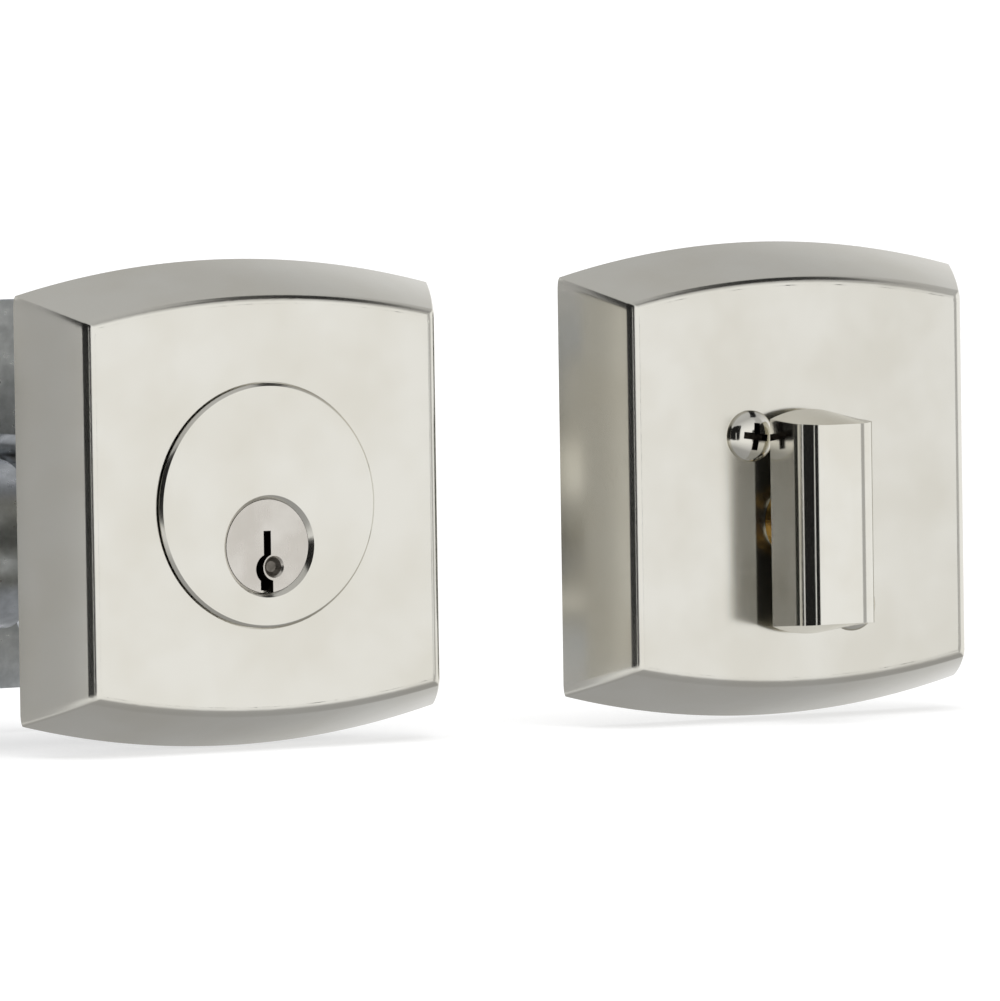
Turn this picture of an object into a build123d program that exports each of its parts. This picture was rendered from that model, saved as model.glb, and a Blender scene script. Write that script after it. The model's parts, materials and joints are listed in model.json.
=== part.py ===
from build123d import *
import os
from math import cos, hypot, radians, sin, sqrt

# Single-cylinder deadbolt for a 44 mm door: exterior trim with its cylinder, tubular latch,
# inside mounting plate, and the interior trim with its turn set down beside the exterior one.
#
# Frame: +X to the right and +Y into the door, both seen from outside, +Z up. The origin is on the
# axis of the spindle, where it crosses the outer face of the door. The bolt leaves towards -X.

os.makedirs("parts", exist_ok=True)

# ---------------------------------------------------------------- driving dimensions, mm
# Door and its drilling
door_thickness = 44.45
backset = 60.325
bolt_throw = 25.4
latch_depth = door_thickness / 2

# Trim plates, both sides
trim_width = 66.7
trim_height = 68.7
trim_arch_radius = 131.5
trim_depth = 11.5
trim_wall = 1.6
trim_bevel_side = 5.6
trim_bevel_end = 5.0
trim_corner = 1.8
trim_face_corner = 1.2
trim_edge_round = 1.3
trim_inner_corner, trim_inner_face_corner = 1.0, 0.8
trim_centre_z = 5.7
interior_x = 88.0

# Cylinder housing and plug
housing_radius = 17.2
housing_proud = 0.9
housing_back = 10.0
housing_rim_chamfer = 0.4
flange_radius = 20.5
flange_thickness = 3.0
post_radius = 3.5
post_foot_radius = 5.0
plug_radius = 6.25
plug_head_radius = 6.55
plug_head_depth = 1.5
plug_recess = 0.6
running_gap = 0.05
plug_tail_radius = 6.0
plug_tail_end = 12.0
keyway_end = 8.8
cup_radius = 4.7
cup_floor = 9.4
lug_half_angle = 44.0
lug_end_gap = 0.1
clip_depth, clip_thickness, clip_y = 0.55, 0.7, housing_back + 0.85
clip_outer_radius = 7.6
tailpiece_cap_bore, tailpiece_cap_thickness = 3.0, 0.8
# Keyway: a blade slot, a curved ward below it and a channel open at the bottom, with a dished
# relief milled beside the ward
keyway_slot_half, keyway_slot_top, keyway_slot_low = 0.58, 2.15, -1.25
keyway_ward_z, keyway_ward_left, keyway_ward_right = -2.95, -1.85, -0.7
keyway_channel_left, keyway_channel_right = -1.15, 0.85
keyway_channel_top, keyway_channel_low = -4.85, -7.0
relief_x, relief_radius, relief_depth, relief_taper = 1.05, 1.55, 1.0, 38

# Pin stacks
pin_count = 5
pin_pitch = 3.81
first_pin_y = -7.9
pin_radius = 1.45
chamber_radius = 1.475
bottom_pin_low, bottom_pin_high = 1.6, 6.1
driver_pin_low, driver_pin_high = 6.45, 11.0
driver_pin_chamfer, bottom_pin_point = 0.2, 0.9
spring_radius = 1.1
spring_wire = 0.32
spring_turns = 6
spring_end_gap = 0.05
chamber_cap_low, chamber_cap_high = 18.2, 19.6
chamber_cap_width, chamber_cap_length = 4.4, 18.5

# Tailpiece
blade_width, blade_thickness = 5.5, 2.0
blade_end = door_thickness + 3.5
blade_tip_chamfer = 0.8
tail_hub_radius = 2.3
tail_lug_radius = 4.5
plug_lug_inner_radius = 2.6

# Latch
face_width, face_height, face_thickness, face_corner = 25.4, 57.15, 2.5, 6.35
face_screw_spacing = 41.3
face_screw_radius = 2.2
face_sink_radius = 3.9
backing_width, backing_height, backing_thickness, backing_corner = 22.2, 54.0, 1.2, 4.35
backing_hole_radius = 2.6
tube_radius, tube_bore_radius = 12.0, 11.2
tube_end_x = -24.5
bolt_height, bolt_width = 22.0, 14.0
bolt_clearance, bolt_nose_chamfer = 0.2, 0.8
bolt_shoulder_x, bolt_end_x = -30.0, -22.3
tenon_height, tenon_thickness = 18.0, 7.05
roller_radius, roller_length = 2.5, 24.0
roller_hole_radius, roller_hole_depth, roller_end_gap = 2.55, 33.5, 0.5
tail_plate_thickness = 1.5
tail_bar_low, tail_bar_high = 6.6, 9.6
tail_ear_half, tail_ear_top, tail_ear_corner = 3.2, 21.4, 1.0
tail_slot_radius = 2.0
tail_slot_low, tail_slot_high = 12.4, 18.2
tail_rivet_x, tail_rivet_z = -26.0, 5.5
rivet_radius, rivet_head_radius, rivet_head = 1.5, 2.3, 0.7

# Latch case, open at top and bottom
case_inner_gap = 14.05
case_plate, case_corner = 1.2, 2.0
case_right_x, case_left_x, case_half_height = 16.2, -24.0, 9.4
tongue_left_x, tongue_half_height = -29.4, 6.6
case_post_places = ((-14.0, -5.2), (13.3, -5.2), (13.3, 3.2))
post_shoulder_radius, post_end_radius, post_head = 2.2, 1.5, 0.5
tube_rivet_x = -26.1
tube_rivet_end = 11.9
detent_z, detent_thickness, detent_width = -8.35, 0.8, 6.0
detent_half_length, detent_tab = 15.4, 3.0

# Cam that turns with the tailpiece
crank_radius = bolt_throw / sqrt(2)
cam_hub_radius, cam_thickness = 7.5, 4.0
cam_flat = 7.0
cam_boss_radius, cam_boss_length = 5.0, 17.25
cam_arm_root, cam_arm_tip = 5.5, 3.0
crank_pin_radius, crank_pin_length = 1.3, 10.65
blade_slot_width, blade_slot_height = 2.2, 5.8

# Inside mounting plate and its screws
plate_width, plate_height, plate_thickness, plate_corner = 58.0, 56.0, 1.8, 10.0
plate_opening_radius = 8.0
through_bolt_x, through_bolt_z = -19.0, 13.0
through_bolt_radius, through_bolt_end = 2.05, -3.0
tapped_radius, tapped_floor, through_hole_radius = 2.1, -8.4, 2.4
through_head_radius, through_head, through_head_round = 4.1, 2.2, 1.2
trim_screw_x, trim_screw_z = -8.4, 12.5
trim_screw_radius, trim_screw_end = 1.95, -3.0
trim_head_radius, trim_head, trim_head_round = 3.75, 1.8, 1.3
trim_hole_radius = 2.2
trim_boss_radius, trim_boss_end = 3.5, door_thickness + 7.6
trim_boss_tapped = 2.0
recess_length, recess_width, recess_depth = 3.4, 0.9, 1.2

# Turn and its spindle
turn_gap = 2.1
turn_width, turn_depth = 12.6, 10.0
turn_back_half, turn_back_side_half, turn_front_half = 16.2, 14.9, 14.3
turn_edge_round = 3.6
neck_radius, neck_gap = 5.2, 0.15
bushing_radius, bushing_flange_radius, bushing_bore = 6.0, 7.6, 4.05
bushing_front, bushing_flange = -11.6, 0.9
shank_radius, shank_end = 4.0, -7.2
ring_groove_radius, ring_groove_back, ring_groove_front = 3.3, -7.9, -8.5
ring_outer_radius = 6.0
washer_inner_radius, washer_outer_radius, washer_back, washer_front = 4.15, 6.6, -8.55, -8.9
shank_tip_radius, shank_tip_end = 2.8, -4.4
spindle_radius, spindle_end = 5.5, 3.0
spindle_slot_floor = -4.2
roll_pin_radius, roll_pin_y, roll_pin_half = 0.8, -5.8, 5.1

pin_places = [first_pin_y + pin_pitch * i for i in range(pin_count)]
housing_front = -trim_depth - housing_proud
plug_front = housing_front + plug_recess
trim_inside = -trim_depth + trim_wall
crank_x = crank_z = crank_radius * cos(radians(45))
turn_back = -trim_depth - turn_gap
turn_front = turn_back - turn_depth
neck_end = bushing_front - neck_gap
through_bolt_places = (
    (through_bolt_x, through_bolt_z),
    (-through_bolt_x, -through_bolt_z),
)


def facing(y, x=0.0, z=0.0):
    """Plane across the door at depth y: local x is +X, local y is +Z, its normal is -Y."""
    return Plane(origin=(x, y, z), x_dir=(1, 0, 0), z_dir=(0, -1, 0))


def across_latch(x):
    """Plane across the bolt at x: local x is -Y, local y is +Z, its normal is -X."""
    return Plane(origin=(x, latch_depth, 0), x_dir=(0, -1, 0), z_dir=(-1, 0, 0))


def arch_drop(x):
    """How far the arched top of a trim has dropped at a distance x from its middle."""
    return trim_arch_radius - sqrt(trim_arch_radius**2 - x**2)


def trim_outline(plane, inset_side, inset_end, corner):
    """A trim plate's outline, drawn in by the two insets: straight sides, arched ends."""
    half_w = trim_width / 2 - inset_side
    half_h = trim_height / 2 - inset_end
    side_h = half_h - arch_drop(half_w)
    with BuildSketch(plane) as outline:
        with BuildLine():
            Line((half_w, -side_h), (half_w, side_h))
            ThreePointArc((half_w, side_h), (0, half_h), (-half_w, side_h))
            Line((-half_w, side_h), (-half_w, -side_h))
            ThreePointArc((-half_w, -side_h), (0, -half_h), (half_w, -side_h))
        make_face()
        fillet(outline.vertices(), corner)
    return outline.sketch


def trim_shell(x):
    """A bevelled trim plate, hollow behind, with its back edge on the plane of the door."""
    back = trim_outline(facing(0, x, trim_centre_z), 0, 0, trim_corner)
    face = trim_outline(
        facing(-trim_depth, x, trim_centre_z),
        trim_bevel_side,
        trim_bevel_end,
        trim_face_corner,
    )
    share = (trim_depth - trim_wall) / trim_depth
    inner_back = trim_outline(
        facing(0, x, trim_centre_z), trim_wall, trim_wall, trim_inner_corner
    )
    inner_face = trim_outline(
        facing(trim_inside, x, trim_centre_z),
        trim_bevel_side * share + trim_wall * hypot(trim_bevel_side, trim_depth) / trim_depth,
        trim_bevel_end * share + trim_wall * hypot(trim_bevel_end, trim_depth) / trim_depth,
        trim_inner_face_corner,
    )
    with BuildPart() as shell:
        loft([back, face], ruled=True)
        fillet(shell.faces().sort_by(Axis.Y)[0].edges(), trim_edge_round)
        loft([inner_back, inner_face], ruled=True, mode=Mode.SUBTRACT)
    return shell.part


def sector(inner, outer, middle_angle):
    """A lug's outline: a ring sector, lug_half_angle to each side of middle_angle."""
    start, end = middle_angle - lug_half_angle, middle_angle + lug_half_angle

    def at(radius, angle):
        return radius * cos(radians(angle)), radius * sin(radians(angle))

    with BuildSketch() as outline:
        with BuildLine():
            Line(at(inner, start), at(outer, start))
            ThreePointArc(at(outer, start), at(outer, middle_angle), at(outer, end))
            Line(at(outer, end), at(inner, end))
            ThreePointArc(at(inner, end), at(inner, middle_angle), at(inner, start))
        make_face()
    return outline.sketch


def open_ring(inner, outer):
    """A retaining ring's outline, with its gap at the bottom."""
    with BuildSketch() as outline:
        Circle(outer)
        Circle(inner, mode=Mode.SUBTRACT)
        with Locations((0, -outer)):
            Rectangle(inner, outer, mode=Mode.SUBTRACT)
    return outline.sketch


def drive_recess():
    """The cross recess of a screw head."""
    with BuildSketch() as outline:
        Rectangle(recess_length, recess_width)
        Rectangle(recess_width, recess_length)
    return outline.sketch


def finish(builder, label):
    """Names a finished piece and writes it."""
    builder.part.label = label
    export_step(builder.part, f"parts/{label}.step")


# ================================================================ exterior trim and cylinder
with BuildPart() as exterior_escutcheon:
    add(trim_shell(0))
    with BuildSketch(facing(0, 0, trim_centre_z)):
        Circle(housing_radius + running_gap)
    extrude(amount=trim_depth, mode=Mode.SUBTRACT)
finish(exterior_escutcheon, "exterior_escutcheon")

with BuildPart() as cylinder_housing:
    with BuildSketch(facing(housing_back, 0, trim_centre_z)):
        Circle(housing_radius)
    extrude(amount=housing_back - housing_front)
    chamfer(
        cylinder_housing.faces().sort_by(Axis.Y)[0].edges(),
        housing_rim_chamfer,
    )
    # Flange that clamps the trim from inside, reaching out to the two screw posts
    with BuildSketch(facing(trim_inside + flange_thickness)):
        with Locations((0, trim_centre_z)):
            Circle(flange_radius)
        with Locations(*through_bolt_places):
            Circle(post_foot_radius)
        make_hull()
    extrude(amount=flange_thickness)
    with BuildSketch(facing(housing_back)):
        with Locations(*through_bolt_places):
            Circle(post_radius)
    extrude(amount=housing_back - trim_inside)
    # Plug bore, its counterbore and the bevel round the plug's face
    with BuildSketch(facing(housing_back)):
        Circle(plug_radius + running_gap)
    extrude(amount=housing_back - housing_front, mode=Mode.SUBTRACT)
    with BuildSketch(facing(housing_front)):
        Circle(plug_head_radius + running_gap)
    extrude(amount=-(plug_recess + plug_head_depth), mode=Mode.SUBTRACT)
    chamfer(
        cylinder_housing.edges()
        .filter_by(GeomType.CIRCLE)
        .group_by(Axis.Y)[0]
        .sort_by(SortBy.RADIUS)[0],
        plug_recess,
    )
    # Pin chambers, and the slot that their cap closes
    with BuildSketch(Plane.XY.offset(chamber_cap_low)):
        with Locations(*[(0, y) for y in pin_places]):
            Circle(chamber_radius)
    extrude(amount=-(chamber_cap_low - plug_radius / 2), mode=Mode.SUBTRACT)
    with BuildSketch(Plane.XY.offset(chamber_cap_low)):
        with Locations((0, pin_places[pin_count // 2])):
            Rectangle(chamber_cap_width, chamber_cap_length)
    extrude(amount=housing_radius, mode=Mode.SUBTRACT)
    # Tapped holes for the through bolts
    with BuildSketch(facing(housing_back)):
        with Locations(*through_bolt_places):
            Circle(tapped_radius)
    extrude(amount=housing_back - tapped_floor, mode=Mode.SUBTRACT)
finish(cylinder_housing, "cylinder_housing")

with BuildPart() as chamber_cap:
    with BuildSketch(Plane.XY.offset(chamber_cap_low)):
        with Locations((0, pin_places[pin_count // 2])):
            Rectangle(
                chamber_cap_width - running_gap,
                chamber_cap_length - running_gap,
            )
    extrude(amount=chamber_cap_high - chamber_cap_low)
finish(chamber_cap, "chamber_cap")

with BuildPart() as driver_pins:
    with BuildSketch(Plane.XY.offset(driver_pin_low)):
        with Locations(*[(0, y) for y in pin_places]):
            Circle(pin_radius)
    extrude(amount=driver_pin_high - driver_pin_low)
    chamfer(driver_pins.edges().filter_by(GeomType.CIRCLE), driver_pin_chamfer)
finish(driver_pins, "driver_pins")

with BuildPart() as pin_springs:
    spring_low = driver_pin_high + spring_wire / 2 + spring_end_gap
    spring_height = chamber_cap_low - driver_pin_high - spring_wire - 2 * spring_end_gap
    spring_pitch = spring_height / spring_turns
    for y in pin_places:
        with BuildLine() as coil:
            Helix(spring_pitch, spring_height, spring_radius, center=(0, y, spring_low))
        with BuildSketch(Plane(origin=coil.line @ 0, z_dir=coil.line % 0)):
            Circle(spring_wire / 2)
        sweep(is_frenet=True)
finish(pin_springs, "pin_springs")

# ================================================================ plug, turned by the key
with BuildPart() as key_plug:
    with BuildSketch(facing(plug_tail_end)):
        Circle(plug_tail_radius)
    extrude(amount=plug_tail_end - housing_back)
    with BuildSketch(facing(housing_back)):
        Circle(plug_radius)
    extrude(amount=housing_back - plug_front)
    with BuildSketch(facing(plug_front + plug_head_depth - running_gap)):
        Circle(plug_head_radius)
    extrude(amount=plug_head_depth - running_gap)
    # Keyway, with its relief
    slot_low_left = (-keyway_slot_half, keyway_slot_low)
    slot_low_right = (keyway_slot_half, keyway_slot_low)
    channel_top_left = (keyway_channel_left, keyway_channel_top)
    channel_top_right = (keyway_channel_right, keyway_channel_top)
    with BuildSketch(facing(keyway_end)):
        with BuildLine():
            Polyline(
                slot_low_left,
                (-keyway_slot_half, keyway_slot_top),
                (keyway_slot_half, keyway_slot_top),
                slot_low_right,
            )
            ThreePointArc(slot_low_right, (keyway_ward_right, keyway_ward_z), channel_top_right)
            Polyline(
                channel_top_right,
                (keyway_channel_right, keyway_channel_low),
                (keyway_channel_left, keyway_channel_low),
                channel_top_left,
            )
            ThreePointArc(channel_top_left, (keyway_ward_left, keyway_ward_z), slot_low_left)
        make_face()
    extrude(amount=keyway_end - plug_front, mode=Mode.SUBTRACT)
    with BuildSketch(facing(plug_front)):
        with Locations((relief_x, keyway_ward_z)):
            Circle(relief_radius)
    extrude(amount=-relief_depth, taper=relief_taper, mode=Mode.SUBTRACT)
    with BuildSketch(Plane.XY.offset(plug_radius)):
        with Locations(*[(0, y) for y in pin_places]):
            Circle(chamber_radius)
    extrude(amount=bottom_pin_low - 2 * running_gap - plug_radius, mode=Mode.SUBTRACT)
    # Cup for the head of the tailpiece, with the lug that picks it up
    with BuildSketch(facing(plug_tail_end)):
        Circle(cup_radius)
    extrude(amount=plug_tail_end - cup_floor, mode=Mode.SUBTRACT)
    with BuildSketch(facing(plug_tail_end)):
        add(sector(plug_lug_inner_radius, cup_radius, -90))
    extrude(amount=plug_tail_end - cup_floor)
    # Groove for the retaining clip
    with BuildSketch(facing(clip_y)):
        Circle(plug_tail_radius)
        Circle(plug_tail_radius - clip_depth, mode=Mode.SUBTRACT)
    extrude(amount=clip_thickness, mode=Mode.SUBTRACT)
finish(key_plug, "key_plug")

with BuildPart() as bottom_pins:
    with BuildSketch(Plane.XY.offset(bottom_pin_low)):
        with Locations(*[(0, y) for y in pin_places]):
            Circle(pin_radius)
    extrude(amount=bottom_pin_high - bottom_pin_low)
    chamfer(
        bottom_pins.edges().filter_by(GeomType.CIRCLE).group_by(Axis.Z)[0],
        bottom_pin_point,
    )
finish(bottom_pins, "bottom_pins")

with BuildPart() as plug_clip:
    with BuildSketch(facing(clip_y)):
        add(open_ring(plug_tail_radius - clip_depth, clip_outer_radius))
    extrude(amount=clip_thickness)
finish(plug_clip, "plug_clip")

with BuildPart() as tailpiece_cap:
    with BuildSketch(facing(plug_tail_end + tailpiece_cap_thickness)):
        Circle(plug_tail_radius)
        Circle(tailpiece_cap_bore, mode=Mode.SUBTRACT)
    extrude(amount=tailpiece_cap_thickness)
finish(tailpiece_cap, "tailpiece_cap")

with BuildPart() as tailpiece:
    with BuildSketch(facing(plug_tail_end)):
        Circle(tail_hub_radius)
    extrude(amount=plug_tail_end - cup_floor - lug_end_gap)
    with BuildSketch(facing(plug_tail_end - lug_end_gap)):
        add(sector(tail_hub_radius / 2, tail_lug_radius, 90))
    extrude(amount=plug_tail_end - cup_floor - 2 * lug_end_gap)
    with BuildSketch(facing(blade_end)):
        Rectangle(blade_thickness, blade_width)
    extrude(amount=blade_end - plug_tail_end)
    chamfer(
        tailpiece.faces().sort_by(Axis.Y)[-1].edges().filter_by(Axis.X),
        blade_tip_chamfer,
    )
finish(tailpiece, "tailpiece")

# ================================================================ latch front and tube
with BuildPart() as latch_faceplate:
    with BuildSketch(across_latch(-backset + face_thickness)):
        RectangleRounded(face_width, face_height, face_corner)
        SlotOverall(
            bolt_height + 2 * bolt_clearance,
            bolt_width + 2 * bolt_clearance,
            rotation=90,
            mode=Mode.SUBTRACT,
        )
    extrude(amount=face_thickness)
    with Locations(across_latch(-backset)):
        with GridLocations(1, face_screw_spacing, 1, 2):
            CounterSinkHole(face_screw_radius, face_sink_radius, depth=face_thickness)
finish(latch_faceplate, "latch_faceplate")

with BuildPart() as latch_backing_plate:
    with BuildSketch(across_latch(-backset + face_thickness + backing_thickness)):
        RectangleRounded(backing_width, backing_height, backing_corner)
        SlotOverall(
            bolt_height + 2 * bolt_clearance,
            bolt_width + 2 * bolt_clearance,
            rotation=90,
            mode=Mode.SUBTRACT,
        )
        with GridLocations(1, face_screw_spacing, 1, 2):
            Circle(backing_hole_radius, mode=Mode.SUBTRACT)
    extrude(amount=backing_thickness)
finish(latch_backing_plate, "latch_backing_plate")

tube_front_x = -backset + face_thickness + backing_thickness
with BuildPart() as bolt_tube:
    with BuildSketch(across_latch(tube_end_x)):
        Circle(tube_radius)
        Circle(tube_bore_radius, mode=Mode.SUBTRACT)
    extrude(amount=tube_end_x - tube_front_x)
    with BuildSketch(facing(latch_depth + tube_radius)):
        with Locations((tube_rivet_x, 0)):
            Circle(rivet_radius)
    extrude(amount=2 * tube_radius, mode=Mode.SUBTRACT)
finish(bolt_tube, "bolt_tube")

# ================================================================ latch case
case_inner = case_inner_gap / 2
case_outer = case_inner + case_plate


def case_side(y_back):
    """One stamped side of the case, its back face at y_back."""
    with BuildPart() as side:
        with BuildSketch(facing(y_back)):
            with BuildLine():
                Polyline(
                    (case_right_x, case_half_height),
                    (case_left_x, case_half_height),
                    (case_left_x, tongue_half_height),
                    (tongue_left_x, tongue_half_height),
                    (tongue_left_x, -tongue_half_height),
                    (case_left_x, -tongue_half_height),
                    (case_left_x, -case_half_height),
                    (case_right_x, -case_half_height),
                    close=True,
                )
            make_face()
            Circle(cam_boss_radius + running_gap, mode=Mode.SUBTRACT)
            with Locations(*case_post_places):
                Circle(post_end_radius, mode=Mode.SUBTRACT)
            with Locations((tube_rivet_x, 0)):
                Circle(rivet_radius, mode=Mode.SUBTRACT)
            tab_x = detent_half_length - detent_tab / 2
            with Locations((-tab_x, detent_z), (tab_x, detent_z)):
                Rectangle(detent_tab, detent_thickness, mode=Mode.SUBTRACT)
        extrude(amount=case_plate)
        fillet(side.edges().filter_by(Axis.Y).group_by(Axis.X)[-1], case_corner)
    return side.part


with BuildPart() as case_side_outer:
    add(case_side(latch_depth - case_inner))
finish(case_side_outer, "case_side_outer")

with BuildPart() as case_side_inner:
    add(case_side(latch_depth + case_outer))
finish(case_side_inner, "case_side_inner")

with BuildPart() as case_posts:
    with BuildSketch(facing(latch_depth + case_outer)):
        with Locations(*case_post_places):
            Circle(post_end_radius)
    extrude(amount=2 * case_outer)
    with BuildSketch(facing(latch_depth + case_inner)):
        with Locations(*case_post_places):
            Circle(post_shoulder_radius)
    extrude(amount=2 * case_inner)
    for head_y in (latch_depth + case_outer + post_head, latch_depth - case_outer):
        with BuildSketch(facing(head_y)):
            with Locations(*case_post_places):
                Circle(post_shoulder_radius)
        extrude(amount=post_head)
finish(case_posts, "case_posts")

with BuildPart() as tube_rivets:
    for back_y in (latch_depth - case_inner, latch_depth + tube_rivet_end):
        with BuildSketch(facing(back_y)):
            with Locations((tube_rivet_x, 0)):
                Circle(rivet_radius)
        extrude(amount=tube_rivet_end - case_inner)
    for back_y in (latch_depth - case_inner + rivet_head, latch_depth + case_inner):
        with BuildSketch(facing(back_y)):
            with Locations((tube_rivet_x, 0)):
                Circle(rivet_head_radius)
        extrude(amount=rivet_head)
finish(tube_rivets, "tube_rivets")

with BuildPart() as detent_spring:
    with BuildSketch(Plane.XY.offset(detent_z - detent_thickness / 2)):
        with Locations((0, latch_depth)):
            Rectangle(2 * detent_half_length, detent_width)
            with GridLocations(2 * detent_half_length - detent_tab, 1, 2, 1):
                Rectangle(detent_tab, 2 * case_outer)
    extrude(amount=detent_thickness)
finish(detent_spring, "detent_spring")

# ================================================================ cam
with BuildPart() as bolt_cam:
    with BuildSketch(facing(latch_depth + cam_thickness / 2)):
        Circle(cam_hub_radius)
        # Flats for the detent spring, one for each end of the quarter turn
        with Locations((0, -cam_flat)):
            Rectangle(
                2 * cam_hub_radius,
                cam_hub_radius,
                align=(Align.CENTER, Align.MAX),
                mode=Mode.SUBTRACT,
            )
        with Locations((-cam_flat, 0)):
            Rectangle(
                cam_hub_radius,
                2 * cam_hub_radius,
                align=(Align.MAX, Align.CENTER),
                mode=Mode.SUBTRACT,
            )
    extrude(amount=cam_thickness)
    with BuildSketch(facing(latch_depth + cam_thickness / 2)):
        Circle(cam_arm_root)
        with Locations((crank_x, crank_z)):
            Circle(cam_arm_tip)
        make_hull()
        with Locations((crank_x, crank_z)):
            Circle(crank_pin_radius, mode=Mode.SUBTRACT)
    extrude(amount=cam_thickness)
    with BuildSketch(facing(latch_depth + cam_boss_length / 2)):
        Circle(cam_boss_radius)
    extrude(amount=cam_boss_length)
    with BuildSketch(facing(latch_depth + cam_boss_length / 2)):
        Rectangle(blade_slot_width, blade_slot_height)
    extrude(amount=cam_boss_length, mode=Mode.SUBTRACT)
finish(bolt_cam, "bolt_cam")

with BuildPart() as crank_pin:
    with BuildSketch(facing(latch_depth + crank_pin_length / 2)):
        with Locations((crank_x, crank_z)):
            Circle(crank_pin_radius)
    extrude(amount=crank_pin_length)
finish(crank_pin, "crank_pin")

# ================================================================ bolt
with BuildPart() as deadbolt:
    with BuildSketch(across_latch(bolt_shoulder_x)):
        SlotOverall(bolt_height, bolt_width, rotation=90)
    extrude(amount=bolt_shoulder_x + backset)
    chamfer(deadbolt.faces().sort_by(Axis.X)[0].edges(), bolt_nose_chamfer)
    with BuildSketch(across_latch(bolt_end_x)):
        Rectangle(tenon_thickness, tenon_height)
    extrude(amount=bolt_end_x - bolt_shoulder_x)
    with BuildSketch(across_latch(bolt_end_x)):
        Circle(roller_hole_radius)
    extrude(amount=roller_hole_depth, mode=Mode.SUBTRACT)
    with BuildSketch(facing(latch_depth + tenon_thickness)):
        with GridLocations(1, 2 * tail_rivet_z, 1, 2):
            with Locations((tail_rivet_x, 0)):
                Circle(rivet_radius)
    extrude(amount=2 * tenon_thickness, mode=Mode.SUBTRACT)
finish(deadbolt, "deadbolt")

with BuildPart() as saw_guard_roller:
    roller_end_x = bolt_end_x - roller_hole_depth + roller_end_gap + roller_length
    with BuildSketch(across_latch(roller_end_x)):
        Circle(roller_radius)
    extrude(amount=roller_length)
finish(saw_guard_roller, "saw_guard_roller")


def tail_side(y_back):
    """One bolt tail plate: a foot on the bolt, a bar above the cam hub, and a slotted ear."""
    with BuildPart() as side:
        with BuildSketch(facing(y_back)):
            with BuildLine():
                Polyline(
                    (bolt_shoulder_x, -tenon_height / 2),
                    (bolt_end_x, -tenon_height / 2),
                    (bolt_end_x, tail_bar_low),
                    (crank_x + tail_ear_half, tail_bar_low),
                    (crank_x + tail_ear_half, tail_ear_top),
                    (crank_x - tail_ear_half, tail_ear_top),
                    (crank_x - tail_ear_half, tail_bar_high),
                    (bolt_shoulder_x, tail_bar_high),
                    close=True,
                )
            make_face()
            slot_middle = (tail_slot_low + tail_slot_high) / 2
            with Locations((crank_x, slot_middle)):
                SlotCenterToCenter(
                    tail_slot_high - tail_slot_low,
                    2 * tail_slot_radius,
                    rotation=90,
                    mode=Mode.SUBTRACT,
                )
            with Locations((tail_rivet_x, tail_rivet_z), (tail_rivet_x, -tail_rivet_z)):
                Circle(rivet_radius, mode=Mode.SUBTRACT)
        extrude(amount=tail_plate_thickness)
        fillet(side.edges().filter_by(Axis.Y).group_by(Axis.Z)[-1], tail_ear_corner)
    return side.part


with BuildPart() as bolt_tail_outer:
    add(tail_side(latch_depth - tenon_thickness / 2))
finish(bolt_tail_outer, "bolt_tail_outer")

with BuildPart() as bolt_tail_inner:
    add(tail_side(latch_depth + tenon_thickness / 2 + tail_plate_thickness))
finish(bolt_tail_inner, "bolt_tail_inner")

tail_half = tenon_thickness / 2 + tail_plate_thickness
with BuildPart() as tail_rivets:
    with BuildSketch(facing(latch_depth + tail_half)):
        with Locations((tail_rivet_x, tail_rivet_z), (tail_rivet_x, -tail_rivet_z)):
            Circle(rivet_radius)
    extrude(amount=2 * tail_half)
    for back_y in (latch_depth - tail_half, latch_depth + tail_half + rivet_head):
        with BuildSketch(facing(back_y)):
            with Locations((tail_rivet_x, tail_rivet_z), (tail_rivet_x, -tail_rivet_z)):
                Circle(rivet_head_radius)
        extrude(amount=rivet_head)
finish(tail_rivets, "tail_rivets")

# ================================================================ inside plate and bolts
with BuildPart() as inside_mounting_plate:
    with BuildSketch(facing(door_thickness + plate_thickness, 0, trim_centre_z)):
        RectangleRounded(plate_width, plate_height, plate_corner)
    extrude(amount=plate_thickness)
    with BuildSketch(facing(trim_boss_end)):
        with Locations((-trim_screw_x, trim_screw_z), (trim_screw_x, -trim_screw_z)):
            Circle(trim_boss_radius)
    extrude(amount=trim_boss_end - door_thickness)
    with BuildSketch(facing(trim_boss_end)):
        Circle(plate_opening_radius)
        with Locations(*through_bolt_places):
            Circle(through_hole_radius)
        with Locations((-trim_screw_x, trim_screw_z), (trim_screw_x, -trim_screw_z)):
            Circle(trim_boss_tapped)
    extrude(amount=trim_boss_end - door_thickness, mode=Mode.SUBTRACT)
finish(inside_mounting_plate, "inside_mounting_plate")

through_head_y = door_thickness + plate_thickness
with BuildPart() as through_bolts:
    with BuildSketch(facing(through_head_y)):
        with Locations(*through_bolt_places):
            Circle(through_bolt_radius)
    extrude(amount=through_head_y - through_bolt_end)
    with BuildSketch(facing(through_head_y + through_head)):
        with Locations(*through_bolt_places):
            Circle(through_head_radius)
    extrude(amount=through_head)
    fillet(
        through_bolts.edges().filter_by(GeomType.CIRCLE).group_by(Axis.Y)[-1],
        through_head_round,
    )
    with BuildSketch(facing(through_head_y + through_head)):
        with Locations(*through_bolt_places):
            add(drive_recess())
    extrude(amount=recess_depth, mode=Mode.SUBTRACT)
finish(through_bolts, "through_bolts")

# ================================================================ interior trim, at interior_x
trim_screw_places = (
    (interior_x + trim_screw_x, trim_screw_z),
    (interior_x - trim_screw_x, -trim_screw_z),
)

with BuildPart() as interior_escutcheon:
    add(trim_shell(interior_x))
    with BuildSketch(facing(0)):
        with Locations((interior_x, 0)):
            Circle(bushing_radius)
        with Locations(*trim_screw_places):
            Circle(trim_hole_radius)
    extrude(amount=trim_depth, mode=Mode.SUBTRACT)
finish(interior_escutcheon, "interior_escutcheon")

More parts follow.
